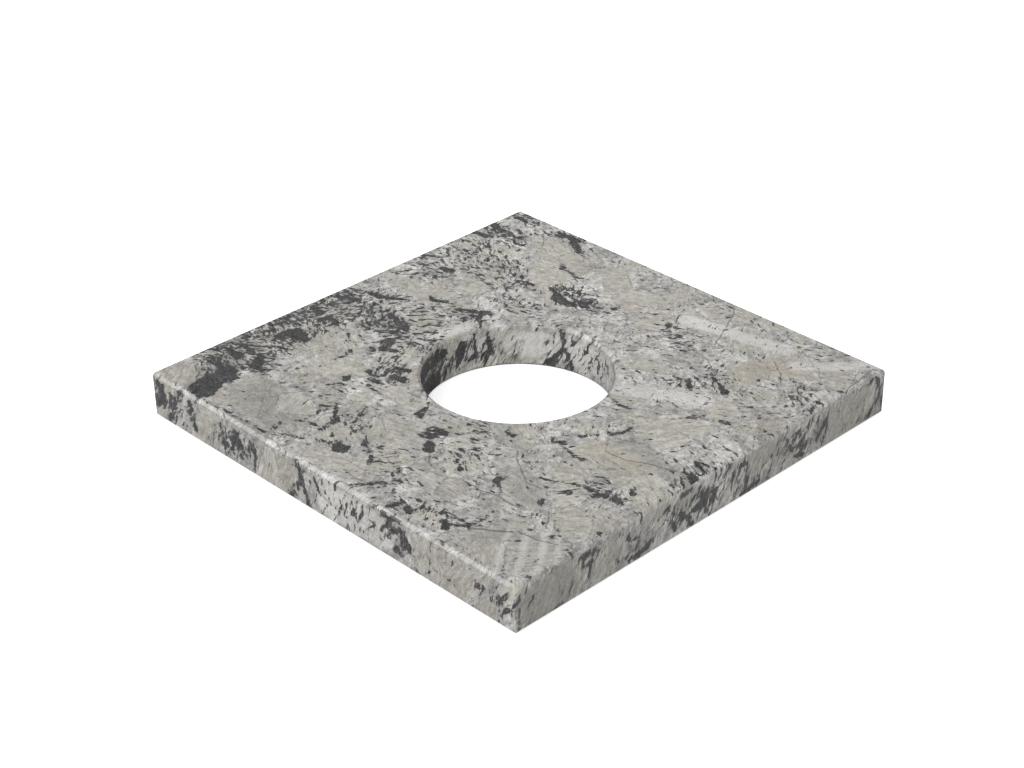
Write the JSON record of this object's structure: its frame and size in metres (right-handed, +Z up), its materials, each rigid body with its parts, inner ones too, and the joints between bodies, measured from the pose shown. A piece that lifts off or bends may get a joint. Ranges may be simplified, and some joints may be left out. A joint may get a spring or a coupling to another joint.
{
  "type": "granite slab",
  "caption": "Square slab of polished granite with a round hole through its middle and narrow chamfers on every edge.",
  "frame": {"origin": "centre of the underside, on the axis of the round cut-out", "axes": "+Z up along the axis of the round cut-out, out of the polished top; X and Y square to the sides"},
  "size_m": [0.3048, 0.3048, 0.0295],
  "materials": {
    "granite": "polished"
  },
  "bodies": {
    "root": {"granite_slab": "granite"}
  },
  "joints": []
}
